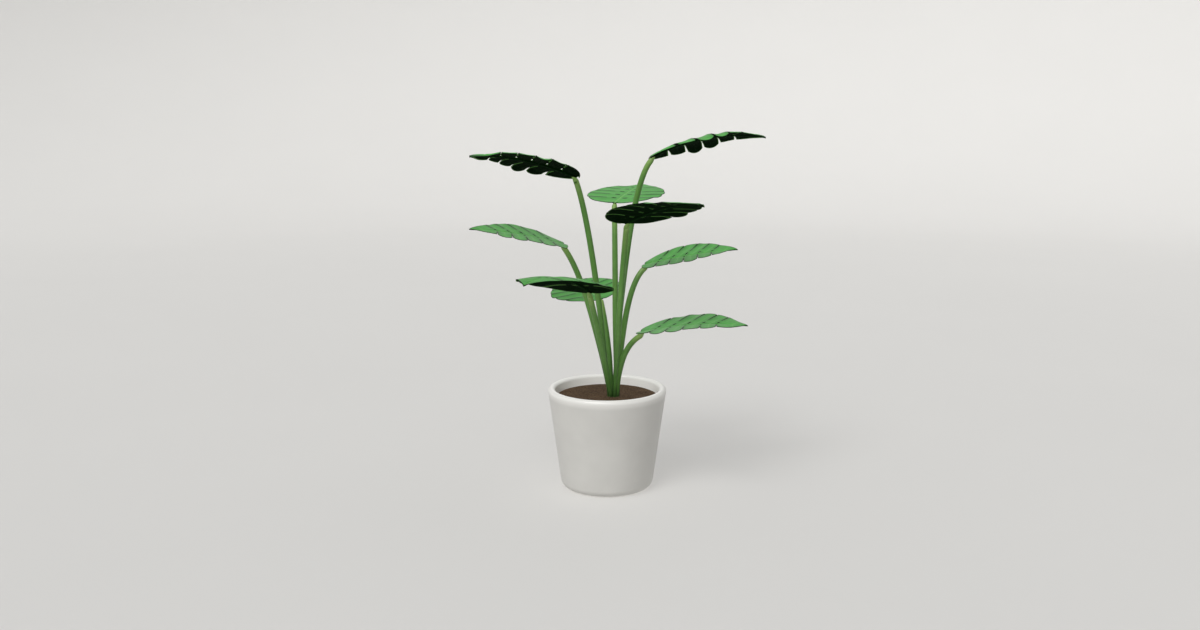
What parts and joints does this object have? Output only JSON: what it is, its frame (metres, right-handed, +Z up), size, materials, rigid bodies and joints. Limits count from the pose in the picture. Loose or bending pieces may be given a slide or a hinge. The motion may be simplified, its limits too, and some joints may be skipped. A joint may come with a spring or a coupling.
{
  "type": "potted monstera deliciosa",
  "caption": "House plant with long-stalked, split and holed leaf blades that rise from the soil of a tapered, round-lipped white pot.",
  "frame": {"origin": "centre of the pot's flat base, on the pot's axis", "axes": "+Z up along the pot's axis, +X to the right and -Y towards the viewer in the picture"},
  "size_m": [0.5751, 0.5534, 0.7227],
  "materials": {
    "pot_glaze": "satin",
    "potting_soil": "matte",
    "leaf_stalk": "satin",
    "leaf_blade": "satin"
  },
  "bodies": {
    "root": {"pot": "pot_glaze", "soil": "potting_soil", "petiole_01": "leaf_stalk", "petiole_02": "leaf_stalk", "petiole_03": "leaf_stalk", "petiole_04": "leaf_stalk", "petiole_05": "leaf_stalk", "petiole_06": "leaf_stalk", "petiole_07": "leaf_stalk", "petiole_08": "leaf_stalk", "petiole_09": "leaf_stalk", "leaf_01": "leaf_blade", "leaf_02": "leaf_blade", "leaf_03": "leaf_blade", "leaf_04": "leaf_blade", "leaf_05": "leaf_blade", "leaf_06": "leaf_blade", "leaf_07": "leaf_blade", "leaf_08": "leaf_blade", "leaf_09": "leaf_blade"}
  },
  "joints": []
}
